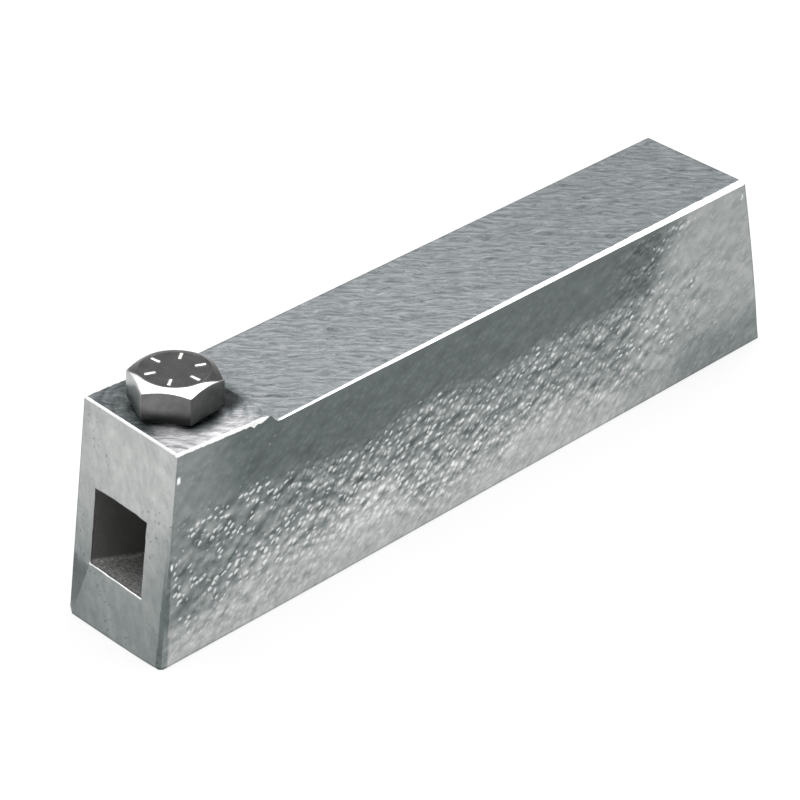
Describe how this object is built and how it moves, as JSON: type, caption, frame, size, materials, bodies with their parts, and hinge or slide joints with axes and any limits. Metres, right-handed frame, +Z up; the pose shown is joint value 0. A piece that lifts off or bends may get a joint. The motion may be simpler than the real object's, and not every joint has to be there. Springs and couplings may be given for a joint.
{
  "type": "turning tool holder",
  "caption": "Plated steel lathe tool holder: rectangular shank, inclined square socket in its leaning front face, and a hexagon-head clamp screw on top.",
  "frame": {"origin": "centre of the whole length and width, on the underside", "axes": "+Z up out of the shank's top, X along the shank with the socket's end at -X, Y across the shank"},
  "size_m": [0.1005, 0.0164, 0.0312],
  "materials": {
    "body_plating": "bright plating over a cast surface, finely dimpled on the sides",
    "screw_plating": "bright plated forged screw, turned bevel on the head"
  },
  "bodies": {
    "holder": {"holder_body": "body_plating"},
    "screw": {"clamp_screw": "screw_plating"}
  },
  "joints": [
    {"name": "clamp_screw_feed", "type": "slide", "parent": "holder", "child": "screw", "axis": [0.0558, 0, 0.9984], "range_m": [-0.0003, 0.012]}
  ]
}
